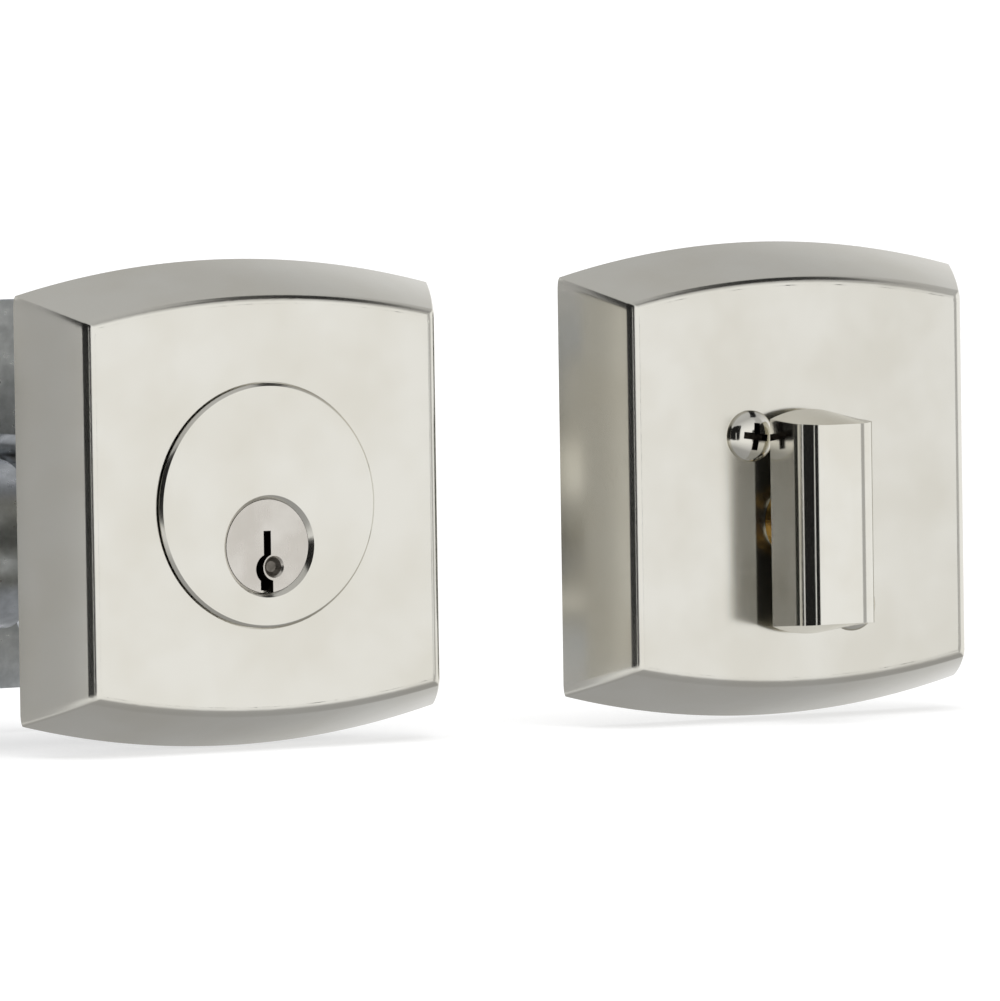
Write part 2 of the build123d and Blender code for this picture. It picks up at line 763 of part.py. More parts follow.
with BuildPart() as trim_screws:
    with BuildSketch(facing(trim_screw_end)):
        with Locations(*trim_screw_places):
            Circle(trim_screw_radius)
    extrude(amount=trim_depth + trim_screw_end)
    with BuildSketch(facing(-trim_depth)):
        with Locations(*trim_screw_places):
            Circle(trim_head_radius)
    extrude(amount=trim_head)
    fillet(
        trim_screws.edges().filter_by(GeomType.CIRCLE).group_by(Axis.Y)[0],
        trim_head_round,
    )
    with BuildSketch(facing(-trim_depth - trim_head)):
        with Locations(*trim_screw_places):
            add(drive_recess())
    extrude(amount=-recess_depth, mode=Mode.SUBTRACT)
finish(trim_screws, "trim_screws")

with BuildPart() as turn_bushing:
    with BuildSketch(facing(trim_inside, interior_x)):
        Circle(bushing_radius)
    extrude(amount=trim_inside - bushing_front)
    with BuildSketch(facing(trim_inside + bushing_flange, interior_x)):
        Circle(bushing_flange_radius)
    extrude(amount=bushing_flange)
    with BuildSketch(facing(trim_inside + bushing_flange, interior_x)):
        Circle(bushing_bore)
    extrude(amount=trim_inside + bushing_flange - bushing_front, mode=Mode.SUBTRACT)
finish(turn_bushing, "turn_bushing")

with BuildPart() as turn_piece:
    # Grip: arched where it faces the trim, square at the front, its long front edges well rounded
    half_w, side_h = turn_width / 2, turn_back_side_half
    with BuildSketch(facing(turn_back, interior_x)):
        with BuildLine():
            Line((half_w, -side_h), (half_w, side_h))
            ThreePointArc((half_w, side_h), (0, turn_back_half), (-half_w, side_h))
            Line((-half_w, side_h), (-half_w, -side_h))
            ThreePointArc((-half_w, -side_h), (0, -turn_back_half), (half_w, -side_h))
        make_face()
    with BuildSketch(facing(turn_front, interior_x)):
        Rectangle(turn_width, 2 * turn_front_half)
    loft(ruled=True)
    long_edges = turn_piece.faces().sort_by(Axis.Y)[0].edges().filter_by(Axis.Z)
    fillet(long_edges, turn_edge_round)
    with BuildSketch(facing(neck_end, interior_x)):
        Circle(neck_radius)
    extrude(amount=neck_end - turn_back)
    with BuildSketch(facing(shank_end, interior_x)):
        Circle(shank_radius)
    extrude(amount=shank_end - turn_back)
    with BuildSketch(facing(shank_tip_end, interior_x)):
        Circle(shank_tip_radius)
    extrude(amount=shank_tip_end - shank_end)
    with BuildSketch(facing(ring_groove_back, interior_x)):
        Circle(shank_radius)
        Circle(ring_groove_radius, mode=Mode.SUBTRACT)
    extrude(amount=ring_groove_back - ring_groove_front, mode=Mode.SUBTRACT)
    with BuildSketch(Plane.YZ.offset(interior_x - spindle_radius)):
        with Locations((roll_pin_y, 0)):
            Circle(roll_pin_radius)
    extrude(amount=2 * spindle_radius, mode=Mode.SUBTRACT)
finish(turn_piece, "turn_piece")

with BuildPart() as turn_washer:
    with BuildSketch(facing(washer_back, interior_x)):
        Circle(washer_outer_radius)
        Circle(washer_inner_radius, mode=Mode.SUBTRACT)
    extrude(amount=washer_back - washer_front)
finish(turn_washer, "turn_washer")

with BuildPart() as turn_retaining_ring:
    with BuildSketch(facing(ring_groove_back, interior_x)):
        add(open_ring(ring_groove_radius, ring_outer_radius))
    extrude(amount=ring_groove_back - ring_groove_front)
finish(turn_retaining_ring, "turn_retaining_ring")

with BuildPart() as turn_spindle:
    with BuildSketch(facing(spindle_end, interior_x)):
        Circle(spindle_radius)
    extrude(amount=spindle_end - shank_end)
    with BuildSketch(facing(shank_tip_end, interior_x)):
        Circle(shank_tip_radius)
    extrude(amount=shank_tip_end - shank_end, mode=Mode.SUBTRACT)
    with BuildSketch(facing(spindle_end, interior_x)):
        Rectangle(blade_slot_width, blade_slot_height)
    extrude(amount=spindle_end - spindle_slot_floor, mode=Mode.SUBTRACT)
    with BuildSketch(Plane.YZ.offset(interior_x - spindle_radius)):
        with Locations((roll_pin_y, 0)):
            Circle(roll_pin_radius)
    extrude(amount=2 * spindle_radius, mode=Mode.SUBTRACT)
finish(turn_spindle, "turn_spindle")

with BuildPart() as spindle_roll_pin:
    with BuildSketch(Plane.YZ.offset(interior_x - roll_pin_half)):
        with Locations((roll_pin_y, 0)):
            Circle(roll_pin_radius)
    extrude(amount=2 * roll_pin_half)
finish(spindle_roll_pin, "spindle_roll_pin")
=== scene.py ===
"""Deadbolt door lock in polished nickel: looks for the CAD frame.

Metres, +Z up, +Y into the door. Values in millimetres are multiplied by MM where they are used.
"""

import json
from math import atan2, cos, hypot, pi, radians, sin, tan

import bmesh
import bpy
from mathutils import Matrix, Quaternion, Vector


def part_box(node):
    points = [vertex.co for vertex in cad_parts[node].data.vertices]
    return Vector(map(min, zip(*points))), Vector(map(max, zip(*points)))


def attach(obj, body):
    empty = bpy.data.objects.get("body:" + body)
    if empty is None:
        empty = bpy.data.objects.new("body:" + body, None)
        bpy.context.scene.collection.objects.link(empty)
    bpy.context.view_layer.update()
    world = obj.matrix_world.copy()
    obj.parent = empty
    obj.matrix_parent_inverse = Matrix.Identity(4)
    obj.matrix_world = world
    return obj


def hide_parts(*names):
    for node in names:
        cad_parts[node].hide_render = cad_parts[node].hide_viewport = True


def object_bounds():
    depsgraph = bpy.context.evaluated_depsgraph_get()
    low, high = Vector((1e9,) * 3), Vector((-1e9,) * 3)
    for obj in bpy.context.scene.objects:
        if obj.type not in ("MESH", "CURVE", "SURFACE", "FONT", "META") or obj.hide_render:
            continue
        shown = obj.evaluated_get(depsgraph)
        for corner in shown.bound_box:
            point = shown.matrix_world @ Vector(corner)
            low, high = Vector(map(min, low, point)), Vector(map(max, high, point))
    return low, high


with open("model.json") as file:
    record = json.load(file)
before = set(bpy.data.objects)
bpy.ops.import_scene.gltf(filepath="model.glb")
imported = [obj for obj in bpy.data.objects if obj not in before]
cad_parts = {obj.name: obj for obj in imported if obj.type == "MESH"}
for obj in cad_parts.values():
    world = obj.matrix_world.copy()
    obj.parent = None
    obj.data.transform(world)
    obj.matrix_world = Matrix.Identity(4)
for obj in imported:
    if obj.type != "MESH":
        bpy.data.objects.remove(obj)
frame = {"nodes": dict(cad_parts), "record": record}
cad_low, cad_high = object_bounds()

MM = 0.001
# Two points this close, in metres, count as one place
TINY = 0.02 * MM
# A hole's cutter runs this far past the wall that it cuts, in mm
OVERRUN = 1.0
# Edges that turn by more than the first angle are rounded; by less than the second, shaded smooth
SHARP_FROM = radians(38)
SMOOTH_UP_TO = radians(34)
FLAT_WITHIN = radians(0.2)


# ---------------------------------------------------------------- selecting and shaping
def clear_selection():
    if bpy.context.object and bpy.context.object.mode != "OBJECT":
        bpy.ops.object.mode_set(mode="OBJECT")
    bpy.ops.object.select_all(action="DESELECT")


def make_active(piece):
    clear_selection()
    piece.select_set(True)
    bpy.context.view_layer.objects.active = piece


def edit(piece):
    make_active(piece)
    bpy.ops.object.mode_set(mode="EDIT")


def pick(test, kind="VERT"):
    """Selects the vertices, edges or faces whose every corner passes test, and nothing else."""
    bpy.ops.mesh.select_mode(type=kind)
    bpy.ops.mesh.select_all(action="DESELECT")
    mesh = bmesh.from_edit_mesh(bpy.context.object.data)
    found = {"VERT": mesh.verts, "EDGE": mesh.edges, "FACE": mesh.faces}[kind]
    for part in found:
        corners = [part] if kind == "VERT" else part.verts
        part.select_set(all(test(corner.co) for corner in corners))
    mesh.select_flush(True)
    bmesh.update_edit_mesh(bpy.context.object.data)


def push(offset):
    """Extrudes the selection by offset, in metres."""
    bpy.ops.mesh.extrude_region_move(TRANSFORM_OT_translate={"value": offset})


def resize(factors, centre):
    bpy.ops.transform.resize(value=factors, center_override=centre)


def outward():
    """Merges the doubles of the piece being edited and turns its faces outwards."""
    bpy.ops.mesh.select_all(action="SELECT")
    bpy.ops.mesh.remove_doubles(threshold=TINY / 10)
    bpy.ops.mesh.normals_make_consistent(inside=False)


def apply(piece, kind, **settings):
    """Adds a modifier with its settings and applies it."""
    make_active(piece)
    modifier = piece.modifiers.new(kind.lower(), kind)
    for setting, value in settings.items():
        setattr(modifier, setting, value)
    bpy.ops.object.modifier_apply(modifier=modifier.name)


def cut(piece, cutter, operation="DIFFERENCE"):
    apply(piece, "BOOLEAN", operation=operation, solver="MANIFOLD", object=cutter)
    bpy.data.objects.remove(cutter)


def tidy_flats(piece):
    """Joins the triangles that a cut leaves on flat faces."""
    edit(piece)
    outward()
    bpy.ops.mesh.dissolve_limited(angle_limit=FLAT_WITHIN)
    bpy.ops.object.mode_set(mode="OBJECT")


def ease_edges(piece, width, segments=3):
    """Rounds every sharp edge a little, and keeps flat faces flat in their shading."""
    apply(
        piece,
        "BEVEL",
        width=width,
        segments=segments,
        limit_method="ANGLE",
        angle_limit=SHARP_FROM,
    )
    bpy.ops.object.shade_smooth_by_angle(angle=SMOOTH_UP_TO)
    apply(piece, "WEIGHTED_NORMAL", keep_sharp=True)


def settle(piece, x, y, z):
    """Puts a piece that was modelled about the origin in its place, with the place in its mesh."""
    make_active(piece)
    piece.location = (x, y, z)
    bpy.ops.object.transform_apply(location=True, rotation=True, scale=True)


# ---------------------------------------------------------------- materials
def linear(code):
    """Linear colour of an sRGB hex code."""
    parts = [int(code[i : i + 2], 16) / 255 for i in (0, 2, 4)]
    return [p / 12.92 if p <= 0.04045 else ((p + 0.055) / 1.055) ** 2.4 for p in parts] + [1.0]


def add(tree, kind, inputs=None, **settings):
    """Adds a node. inputs are values, or (node, output) pairs to link from."""
    made = tree.nodes.new(kind)
    for setting, value in settings.items():
        setattr(made, setting, value)
    for socket, value in (inputs or {}).items():
        if isinstance(value, tuple) and isinstance(value[0], bpy.types.Node):
            tree.links.new(value[0].outputs[value[1]], made.inputs[socket])
        else:
            made.inputs[socket].default_value = value
    return made


# Where the haze pattern's value turns from worn tone to clean tone, and from rough to smooth
TONE_WORN_AT, TONE_CLEAN_AT = 0.35, 0.62
ROUGH_AT, SMOOTH_AT = 0.3, 0.7
HAZE_DETAIL, MARKS_DETAIL = 3.0, 4.0


def metal(name, tone, tone_worn, roughness, haze_mm, lay_mm, lay, lay_depth_mm):
    """A bare or plated metal: a tone that shifts a little in patches haze_mm across, a roughness
    that shifts with it, and fine tool marks lay_mm apart that run the way that lay is stretched."""
    material = bpy.data.materials.new(name)
    material.use_nodes = True
    tree = material.node_tree
    shader = tree.nodes["Principled BSDF"]
    shader.inputs["Metallic"].default_value = 1.0
    place = add(tree, "ShaderNodeTexCoord")
    haze = add(
        tree,
        "ShaderNodeTexNoise",
        {"Vector": (place, "Object"), "Scale": 1 / (haze_mm * MM), "Detail": HAZE_DETAIL},
    )
    tones = add(tree, "ShaderNodeValToRGB", {"Fac": (haze, "Fac")})
    worn, clean = tones.color_ramp.elements
    worn.position, worn.color = TONE_WORN_AT, linear(tone_worn)
    clean.position, clean.color = TONE_CLEAN_AT, linear(tone)
    tree.links.new(tones.outputs["Color"], shader.inputs["Base Color"])
    stretched = add(tree, "ShaderNodeMapping", {"Vector": (place, "Object"), "Scale": lay})
    marks = add(
        tree,
        "ShaderNodeTexNoise",
        {"Vector": (stretched, "Vector"), "Scale": 1 / (lay_mm * MM), "Detail": MARKS_DETAIL},
    )
    low, high = roughness
    rough_patches = add(
        tree,
        "ShaderNodeMapRange",
        {
            "Value": (haze, "Fac"),
            "From Min": ROUGH_AT,
            "From Max": SMOOTH_AT,
            "To Min": high,
            "To Max": low,
        },
    )
    rough_marks = add(
        tree,
        "ShaderNodeMath",
        {0: (marks, "Fac"), 1: (high - low) / 2},
        operation="MULTIPLY",
    )
    rough = add(
        tree,
        "ShaderNodeMath",
        {0: (rough_patches, "Result"), 1: (rough_marks, "Value")},
        operation="ADD",
        use_clamp=True,
    )
    tree.links.new(rough.outputs["Value"], shader.inputs["Roughness"])
    relief = add(
        tree,
        "ShaderNodeBump",
        {"Height": (marks, "Fac"), "Distance": lay_depth_mm * MM, "Strength": 1.0},
    )
    tree.links.new(relief.outputs["Normal"], shader.inputs["Normal"])
    return material


# A lay is how much the marks are squeezed along X, Y and Z: they run long where it is small
DRAWN_OUT = 0.03
EVEN = (1.0, 1.0, 1.0)
ALONG_X = (DRAWN_OUT, 1.0, 1.0)
ALONG_Y = (1.0, DRAWN_OUT, 1.0)
ALONG_Z = (1.0, 1.0, DRAWN_OUT)

# Buffed nickel plate is a warm mirror, with only the faintest haze left by the wheel.
# The wheel's lines are finer than can be seen, and are drawn 0.5 mm apart.
polished_nickel = metal(
    "polished_nickel", "E4E2DA", "E0DDD3", (0.09, 0.12), 9.0, 0.5, ALONG_Z, 0.0004
)
# The trims and the cylinder are buffed softer than the turn, so what stands near them blurs.
soft_nickel = metal(
    "soft_nickel", "E4E2DA", "DFDCD2", (0.15, 0.19), 14.0, 0.5, ALONG_Z, 0.0004
)
# The plug and the bolt are brushed before plating, so their grain draws light into streaks.
# Grain is drawn 0.25 mm apart, coarser than the real 0.05 mm, so that it shows.
brushed_nickel = metal(
    "brushed_nickel", "DAD6CF", "D0CBC3", (0.20, 0.28), 7.0, 0.25, ALONG_Z, 0.008
)
# Turned brass is warm yellow and half bright, browner where it is handled, under fine tool marks.
# The marks are drawn 0.3 mm apart, coarser than a finishing cut leaves, so that they show.
lathe_turned_brass = metal(
    "lathe_turned_brass", "D9B46A", "C69C52", (0.18, 0.28), 3.0, 0.3, ALONG_X, 0.003
)
# Bright zinc on pressed steel: blue-grey, with soft spangled patches.
zinc_plated_steel = metal(
    "zinc_plated_steel", "C3C7CC", "AEB2B6", (0.22, 0.36), 2.2, 0.4, EVEN, 0.006
)
# Ground steel is a plain mid grey whose grinding lines smear what it mirrors.
ground_steel = metal(
    "ground_steel", "B9B8B6", "A2A09D", (0.24, 0.34), 3.0, 0.3, ALONG_Y, 0.004
)
# Hardened spring steel comes out of its oil dark grey, with a wet-looking sheen in patches.
oiled_spring_steel = metal(
    "oiled_spring_steel", "8E8C8A", "706D6A", (0.20, 0.32), 1.8, 0.3, ALONG_Y, 0.003
)

# Painted shade: nearly black, for the shade that falls in the keyway's walls and in the screws'
# cross recesses.
painted_recess_shade = metal(
    "painted_recess_shade", "4A443C", "26231F", (0.42, 0.55), 1.5, 0.3, ALONG_Y, 0.004
)

# Painted shade: the dished relief recessed beside the keyway is a dull dark grey, for the shade in
# it.
painted_dish_shade = metal("painted_dish_shade", "8F8A82", "6E6962", (0.35, 0.5), 1.2, 0.25, EVEN, 0.004)

FINISH_OF_SLOT = {
    "polished_nickel": polished_nickel,
    "satin_nickel": brushed_nickel,
    "brass": lathe_turned_brass,
    "zinc_plated_steel": zinc_plated_steel,
    "steel": ground_steel,
    "spring_steel": oiled_spring_steel,
}
slot_of_node = {s["node"]: s["material_slot"] for s in frame["record"]["subparts"]}
body_of_node = {
    node: body
    for body, nodes in frame["record"]["behaviour"]["bodies"].items()
    for node in nodes
}
for node, carried_over in frame["nodes"].items():
    carried_over.data.materials.clear()
    carried_over.data.materials.append(FINISH_OF_SLOT[slot_of_node[node]])


def stand_for(piece, node, marked_finish=None):
    """The piece takes the node's finish, rides on its body and stands for it. Its marked faces
    take marked_finish."""
    marked = [side.index for side in piece.data.polygons if side.material_index > 0]
    piece.data.materials.clear()
    piece.data.materials.append(FINISH_OF_SLOT[slot_of_node[node]])
    if marked_finish:
        piece.data.materials.append(marked_finish)
        for index in marked:
            piece.data.polygons[index].material_index = 1
    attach(piece, body_of_node[node])
    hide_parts(node)


# ---------------------------------------------------------------- pieces
TURNED_SIDES = 96
CORNER_SEGMENTS = 6


def turned(name, outline):
    """A lathe-made piece along Y about the origin. outline gives (depth, radius) in mm from one
    end to the other."""
    clear_selection()
    depth, radius = outline[0]
    bpy.ops.mesh.primitive_circle_add(
        vertices=TURNED_SIDES,
        radius=radius * MM,
        fill_type="NGON",
        location=(0, depth * MM, 0),
        rotation=(pi / 2, 0, 0),
    )
    piece = bpy.context.object
    piece.name = name
    bpy.ops.object.transform_apply(location=True, rotation=True, scale=True)
    bpy.ops.object.mode_set(mode="EDIT")
    bpy.ops.mesh.select_all(action="SELECT")
    for (y0, r0), (y1, r1) in zip(outline, outline[1:]):
        push((0, (y1 - y0) * MM, 0))
        resize((r1 / r0, 1, r1 / r0), (0, y1 * MM, 0))
    outward()
    bpy.ops.object.mode_set(mode="OBJECT")
    return piece


def arched_half(name, arch_radius, half_w, half_h, corner, sides, depth=0.0):
    """Upper half of an outline with straight sides and an arched top, as an open line at this
    depth. All in mm. Leaves it being edited, with all of it selected."""
    clear_selection()
    bpy.ops.mesh.primitive_circle_add(
        vertices=sides,
        radius=arch_radius * MM,
        fill_type="NGON",
        location=(0, depth * MM, (half_h - arch_radius) * MM),
        rotation=(pi / 2, 0, 0),
    )
    piece = bpy.context.object
    piece.name = name
    bpy.ops.object.transform_apply(location=True, rotation=True, scale=True)
    bpy.ops.object.mode_set(mode="EDIT")
    side = half_w * MM
    for place, normal in (
        ((0, 0, 0), (0, 0, -1)),
        ((side, 0, 0), (1, 0, 0)),
        ((-side, 0, 0), (-1, 0, 0)),
    ):
        bpy.ops.mesh.select_all(action="SELECT")
        bpy.ops.mesh.bisect(plane_co=place, plane_no=normal, clear_outer=True)
    if corner:
        pick(lambda p: abs(p.x) > side - TINY and p.z > TINY)
        bpy.ops.mesh.bevel(offset=corner * MM, segments=CORNER_SEGMENTS, affect="VERTICES")
    bpy.ops.mesh.select_all(action="SELECT")
    bpy.ops.mesh.delete(type="ONLY_FACE")
    pick(lambda p: p.z < TINY, "EDGE")
    bpy.ops.mesh.delete(type="EDGE")
    bpy.ops.mesh.select_mode(type="VERT")
    bpy.ops.mesh.select_all(action="SELECT")
    return piece


def resize_arch(factor, centre_z):
    """Resizes the selected outline in height, all but its two feet on the middle line."""
    piece = bpy.context.object
    mesh = bmesh.from_edit_mesh(piece.data)
    mesh.verts.index_update()
    outline = [v.index for v in mesh.verts if v.select]
    for v in mesh.verts:
        if v.select and v.co.z < TINY:
            v.select_set(False)
    bmesh.update_edit_mesh(piece.data)
    resize((1, 1, factor), (0, 0, centre_z))
    mesh = bmesh.from_edit_mesh(piece.data)
    mesh.verts.ensure_lookup_table()
    for index in outline:
        mesh.verts[index].select_set(True)
    mesh.select_flush(True)
    bmesh.update_edit_mesh(piece.data)


def draw_in(half_w, half_h, side, end):
    """Draws the selected outline in by side and end, in mm, and keeps its arch true.
    Gives its new half sizes."""
    across = 1 - side / half_w
    resize((across, 1, 1), (0, 0, 0))
    resize_arch(across**2, (half_h - end / (1 - across**2)) * MM)
    return half_w - side, half_h - end


def mirror_down(piece):
    """Makes the whole of a piece of which only the upper half was modelled."""
    apply(
        piece,
        "MIRROR",
        use_axis=(False, False, True),
        use_clip=True,
        merge_threshold=TINY / 10,
    )


def fill_at(depth):
    """Closes the loop of edges that lies at this depth."""
    pick(lambda p: abs(p.y - depth * MM) < TINY, "EDGE")
    bpy.ops.mesh.edge_face_add()


def drill(x, z, radius, front, back):
    """A cutter for a round hole, in mm, from front to back."""
    cutter = turned("drill", [(front, radius), (back, radius)])
    settle(cutter, x * MM, 0, z * MM)
    return cutter


def eased_copy(name, node, width):
    """A copy of a CAD node's mesh with its sharp edges rounded by width, in mm."""
    original = frame["nodes"][node]
    piece = original.copy()
    piece.data = original.data.copy()
    piece.name = name
    bpy.context.scene.collection.objects.link(piece)
    tidy_flats(piece)
    ease_edges(piece, width * MM, segments=2)
    stand_for(piece, node)


# ---------------------------------------------------------------- the two square trims
TRIM_DEPTH = 11.5
TRIM_WALL = 1.6
TRIM_CORNER = 1.8
# Radius of the arched ends, and the sides of the full circle that the arch is cut from
TRIM_ARCH = 131.5
TRIM_ARCH_SIDES = 720
# How far the face lies in from the rim, at the sides and at the two ends
FACE_IN_SIDE, FACE_IN_END = 5.6, 5.0
# The bevel swells by its crown at mid height, then rounds over into the face
BEVEL_CROWN = 0.16
BEVEL_STEPS = 8
FACE_ROUND = 1.75
ROUND_STEPS = 9
# A narrow rim of flat face keeps the rounds' shading off the middle of the face
FACE_RIM = 0.3
HOLLOW_DEPTH = 9.9
HOLLOW_IN_SIDE, HOLLOW_IN_END = 6.6, 6.05
TRIM_EASE = 0.12
# The trims' middle, and the cylinder's, lies this far above the plug's and the turn's axis
TRIM_Z = 5.7
INSIDE_X = 88.0
# Radii of the holes, and where the two trim screws stand from the turn's axis
CYLINDER_HOLE, STEM_HOLE, SCREW_HOLE = 17.38, 6.05, 2.2
SCREW_SIDE, SCREW_UP = 8.4, 12.5


def bevel_profile():
    """Depth and inset of the trim's side, in mm: the broad bevel, then the round into the face."""
    slope = atan2(FACE_IN_SIDE, TRIM_DEPTH)
    reach = FACE_ROUND * tan((pi / 2 - slope) / 2)
    bevel_end = (TRIM_DEPTH - reach * cos(slope), FACE_IN_SIDE - reach * sin(slope))
    for step in range(1, BEVEL_STEPS + 1):
        share = step / BEVEL_STEPS
        crown = BEVEL_CROWN * 4 * share * (1 - share)
        yield bevel_end[0] * share, bevel_end[1] * share - crown
    for step in range(1, ROUND_STEPS + 1):
        lean = slope + (pi / 2 - slope) * step / ROUND_STEPS
        yield (
            TRIM_DEPTH - FACE_ROUND * (1 - sin(lean)),
            FACE_IN_SIDE + reach - FACE_ROUND * cos(lean),
        )


def trim_plate(name, node, x, holes):
    """A hollow square plate with arched ends and broad bevels that curve a little.
    holes are (x, z, radius) in mm from the middle of its face."""
    low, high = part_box(node)
    half_w = (high[0] - low[0]) / MM / 2
    half_h = (high[2] - low[2]) / MM / 2
    piece = arched_half(name, TRIM_ARCH, half_w, half_h, TRIM_CORNER, TRIM_ARCH_SIDES)
    sizes = (half_w, half_h)
    depth = inset = 0.0
    for next_depth, next_inset in bevel_profile():
        push((0, (depth - next_depth) * MM, 0))
        side = next_inset - inset
        sizes = draw_in(*sizes, side, side * FACE_IN_END / FACE_IN_SIDE)
        depth, inset = next_depth, next_inset
    pick(lambda p: p.y > -TINY)
    push((0, 0, 0))
    sizes = draw_in(half_w, half_h, TRIM_WALL, TRIM_WALL)
    push((0, -HOLLOW_DEPTH * MM, 0))
    draw_in(*sizes, HOLLOW_IN_SIDE - TRIM_WALL, HOLLOW_IN_END - TRIM_WALL)
    bpy.ops.object.mode_set(mode="OBJECT")
    mirror_down(piece)
    edit(piece)
    fill_at(-TRIM_DEPTH)
    fill_at(-HOLLOW_DEPTH)
    outward()
    pick(lambda p: p.y < -TRIM_DEPTH * MM + TINY, "FACE")
    bpy.ops.mesh.inset(thickness=FACE_RIM * MM)
    bpy.ops.object.mode_set(mode="OBJECT")
    for hole_x, hole_z, radius in holes:
        front, back = -TRIM_DEPTH - OVERRUN, -HOLLOW_DEPTH + OVERRUN
        cut(piece, drill(hole_x, hole_z, radius, front, back))
    tidy_flats(piece)
    ease_edges(piece, TRIM_EASE * MM)
    settle(piece, x * MM, 0, TRIM_Z * MM)
    stand_for(piece, node)


trim_plate("outside_trim", "exterior_escutcheon", 0, [(0, 0, CYLINDER_HOLE)])
trim_plate(
    "inside_trim",
    "interior_escutcheon",
    INSIDE_X,
    [
        (0, -TRIM_Z, STEM_HOLE),
        (-SCREW_SIDE, SCREW_UP - TRIM_Z, SCREW_HOLE),
        (SCREW_SIDE, -SCREW_UP - TRIM_Z, SCREW_HOLE),
    ],
)

# ---------------------------------------------------------------- the thumb turn
TURN_BACK = -13.6
TURN_THICK = 10.0
TURN_HALF_W = 6.3
# Half its height at the back and at the front, and the radius of its arched ends
TURN_HALF_H, TURN_FRONT_HALF_H = 16.2, 14.3
TURN_ARCH = 15.92
TURN_ARCH_SIDES = 240
# The round on its two long front edges
TURN_ROUND = 3.6
ROUND_SEGMENTS = 14
TURN_EASE = 0.4
# The bar that gives it its sides is longer than it by any amount
BAR_LENGTH = 40.0

# Its stem's radii from the tip to the neck under the grip, and the ring's groove in it
TIP_RADIUS, STEM_RADIUS, NECK_RADIUS, GROOVE_RADIUS = 2.8, 4.0, 5.2, 3.3
TIP_END, STEM_END, NECK_END, STEM_FOOT = -4.4, -7.2, -11.75, -14.5
GROOVE_BACK, GROOVE_FRONT = -7.9, -8.5
CHAMFER = 0.2


def arched_wedge():
    """The turn's two ends: an arched bar that gets shorter towards its front."""
    half_w = TURN_HALF_W + OVERRUN
    grip = arched_half("thumb_grip", TURN_ARCH, half_w, TURN_HALF_H, 0, TURN_ARCH_SIDES, OVERRUN)
    push((0, -OVERRUN * MM, 0))
    push((0, -TURN_THICK * MM, 0))
    resize_arch(0.0, TURN_FRONT_HALF_H * MM)
    push((0, -OVERRUN * MM, 0))
    bpy.ops.object.mode_set(mode="OBJECT")
    mirror_down(grip)
    edit(grip)
    fill_at(OVERRUN)
    fill_at(-TURN_THICK - OVERRUN)
    outward()
    bpy.ops.object.mode_set(mode="OBJECT")
    return grip


def rounded_bar():
    """The turn's sides, back and front: a bar with its two long front edges well rounded."""
    clear_selection()
    bpy.ops.mesh.primitive_cube_add(size=1, location=(0, -TURN_THICK / 2 * MM, 0))
    bar = bpy.context.object
    bar.scale = (2 * TURN_HALF_W * MM, TURN_THICK * MM, BAR_LENGTH * MM)
    bpy.ops.object.transform_apply(location=True, rotation=True, scale=True)
    edit(bar)
    pick(lambda p: p.y < -TURN_THICK * MM + TINY and abs(p.x) > TINY, "EDGE")
    mesh = bmesh.from_edit_mesh(bar.data)
    for edge in mesh.edges:
        if abs(edge.verts[0].co.z - edge.verts[1].co.z) < TINY:
            edge.select_set(False)
    bmesh.update_edit_mesh(bar.data)
    bpy.ops.mesh.bevel(offset=TURN_ROUND * MM, segments=ROUND_SEGMENTS, affect="EDGES")
    bpy.ops.object.mode_set(mode="OBJECT")
    return bar


def grooved_stem():
    """The stem that turns in the trim, grooved for the ring that holds it there."""
    outline = [
        (TIP_END, TIP_RADIUS - CHAMFER),
        (TIP_END - CHAMFER, TIP_RADIUS),
        (STEM_END, TIP_RADIUS),
        (STEM_END, STEM_RADIUS - CHAMFER),
        (STEM_END - CHAMFER, STEM_RADIUS),
        (GROOVE_BACK, STEM_RADIUS),
        (GROOVE_BACK, GROOVE_RADIUS),
        (GROOVE_FRONT, GROOVE_RADIUS),
        (GROOVE_FRONT, STEM_RADIUS),
        (NECK_END, STEM_RADIUS),
        (NECK_END, NECK_RADIUS - CHAMFER),
        (NECK_END - CHAMFER, NECK_RADIUS),
        (STEM_FOOT, NECK_RADIUS),
    ]
    stem = turned("stem", outline)
    settle(stem, INSIDE_X * MM, 0, 0)
    return stem


grip = arched_wedge()
cut(grip, rounded_bar(), "INTERSECT")
tidy_flats(grip)
ease_edges(grip, TURN_EASE * MM, segments=4)
settle(grip, INSIDE_X * MM, TURN_BACK * MM, 0)
cut(grip, grooved_stem(), "UNION")
make_active(grip)
bpy.ops.object.shade_smooth_by_angle(angle=SMOOTH_UP_TO)
stand_for(grip, "turn_piece")

# ---------------------------------------------------------------- screws
THREAD_PITCH = 0.8
# The tip is drawn in over its lead-in, and the last groove runs out over at least this length
LEAD_IN, LEAD_TAPER = 0.5, 0.25
RUN_OUT = 0.2
# The head rises by its rim before it rounds over to a small flat tip
HEAD_RIM, RIM_CHAMFER = 0.2, 0.15
CROWN_STEPS = 12
CROWN_TIP = 0.2
# Each bar of the cross stands half its height into the crown, and narrows towards the bottom
CROSS_HEIGHT = 2.4
CROSS_TAPER = 0.72
# The recess's faces lie within this share of the cross's length from the axis, above the lowest
# depth. They are its steep walls, and all that lies below the floor depth, both from the crown.
# The recess's walls and floor take a nearly black finish: painted shade.
RECESS_REACH = 0.55
RECESS_LOWEST, RECESS_FLOOR = -1.5, -0.9
RECESS_STEEP = 0.4


def threaded(start, end, crest, root):
    """Outline of a threaded length, from its lead-in at start to a plain neck at end, in mm."""
    way = 1 if end > start else -1
    outline = [(start, root - LEAD_TAPER), (start + way * LEAD_IN, root)]
    turns = int((abs(end - start) - LEAD_IN - RUN_OUT) / THREAD_PITCH)
    for turn in range(turns):
        foot = start + way * (LEAD_IN + turn * THREAD_PITCH)
        outline += [(foot + way * THREAD_PITCH / 2, crest), (foot + way * THREAD_PITCH, root)]
    return outline + [(end, crest)]


